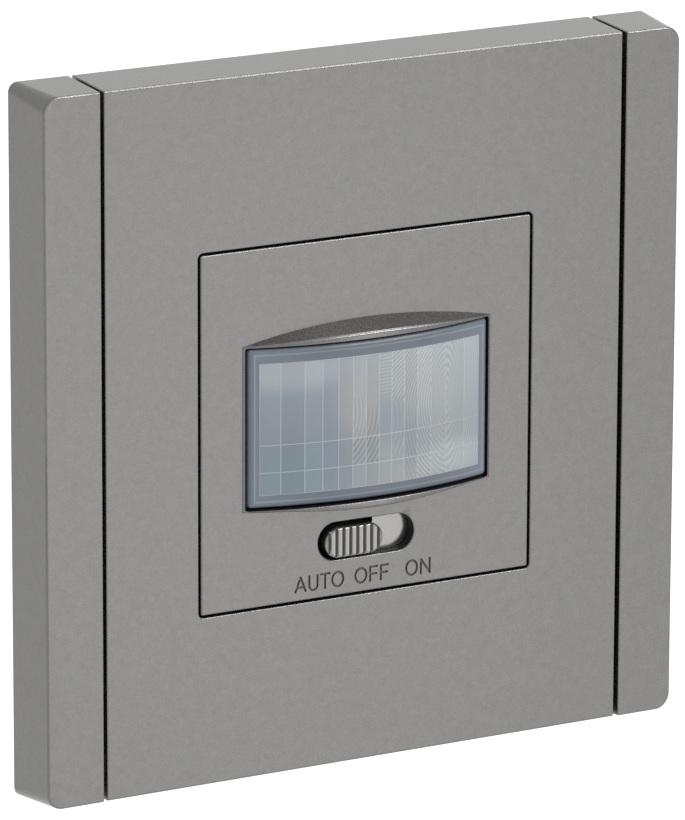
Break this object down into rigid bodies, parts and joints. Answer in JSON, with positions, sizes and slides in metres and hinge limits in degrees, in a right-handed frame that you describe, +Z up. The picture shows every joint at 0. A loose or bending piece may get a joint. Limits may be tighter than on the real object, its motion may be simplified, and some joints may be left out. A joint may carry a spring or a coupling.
{
  "type": "motion sensor light switch",
  "caption": "Wall switch with a bulging segmented sensor lens under a curved hood, a sliding mode knob, a square plate with side strips and a deep box module.",
  "frame": {"origin": "middle of the fixing slots, on the wall plane behind the plate", "axes": "+Y into the wall along the fixing screws, +Z up, +X right as seen from the room"},
  "size_m": [0.0868, 0.042, 0.0868],
  "materials": {
    "silver_paint": "metallic satin paint",
    "knob_paint": "metallic satin paint",
    "lens_plastic": "translucent",
    "white_plastic": "satin",
    "bracket_steel": "zinc plated",
    "grey_plastic": "moulded",
    "board_laminate": "solder mask",
    "sensor_metal": "nickel plated",
    "dark_filter": "polished",
    "clear_dome": "clear",
    "red_dome": "clear",
    "blue_plastic": "moulded",
    "black_plastic": "moulded",
    "yellow_plastic": "moulded",
    "capacitor_sleeve": "sleeve",
    "ferrite": "ground",
    "copper_wire": "enamelled copper",
    "terminal_plastic": "moulded",
    "terminal_brass": "bright",
    "clamp_steel": "zinc plated"
  },
  "bodies": {
    "device": {"outer_frame": "silver_paint", "centre_panel": "silver_paint", "sensor_cover": "silver_paint", "fresnel_lens": "lens_plastic", "lens_retainer": "white_plastic", "mounting_bracket": "bracket_steel", "module_housing": "grey_plastic", "control_board": "board_laminate", "power_board": "board_laminate", "sensor_header": "sensor_metal", "sensor_can": "sensor_metal", "sensor_window": "dark_filter", "light_sensor": "clear_dome", "indicator_lamp": "red_dome", "trimmer_bodies": "blue_plastic", "switch_body": "black_plastic", "board_pins": "black_plastic", "board_socket": "black_plastic", "relay": "blue_plastic", "film_capacitor": "yellow_plastic", "fuse": "black_plastic", "rectifier": "black_plastic", "bulk_capacitor": "capacitor_sleeve", "choke": "ferrite", "choke_winding": "copper_wire", "varistor": "blue_plastic", "terminal_block": "terminal_plastic", "terminal_bars": "terminal_brass", "terminal_clamps": "clamp_steel", "terminal_screws": "clamp_steel"},
    "mode_knob": {"mode_knob": "knob_paint"},
    "switch_lever": {"switch_lever": "white_plastic"},
    "time_rotor": {"time_rotor": "white_plastic"},
    "light_rotor": {"light_rotor": "white_plastic"},
    "range_rotor": {"range_rotor": "white_plastic"}
  },
  "joints": [
    {"name": "mode_slide", "type": "slide", "parent": "device", "child": "mode_knob", "axis": [1, 0, 0], "range_m": [0, 0.0042]},
    {"name": "lever_slide", "type": "slide", "parent": "device", "child": "switch_lever", "axis": [1, 0, 0], "range_m": [0, 0.0042]},
    {"name": "time_turn", "type": "hinge", "parent": "device", "child": "time_rotor", "pos_m": [-0.011, 0, 0.0153], "axis": [0, 1, 0], "range_deg": [-135, 135]},
    {"name": "light_turn", "type": "hinge", "parent": "device", "child": "light_rotor", "pos_m": [0, 0, 0.0153], "axis": [0, 1, 0], "range_deg": [-135, 135]},
    {"name": "range_turn", "type": "hinge", "parent": "device", "child": "range_rotor", "pos_m": [0.011, 0, 0.0153], "axis": [0, 1, 0], "range_deg": [-135, 135]}
  ],
  "couplings": [
    {"joint": "lever_slide", "follows": "mode_slide", "ratio": 1}
  ]
}
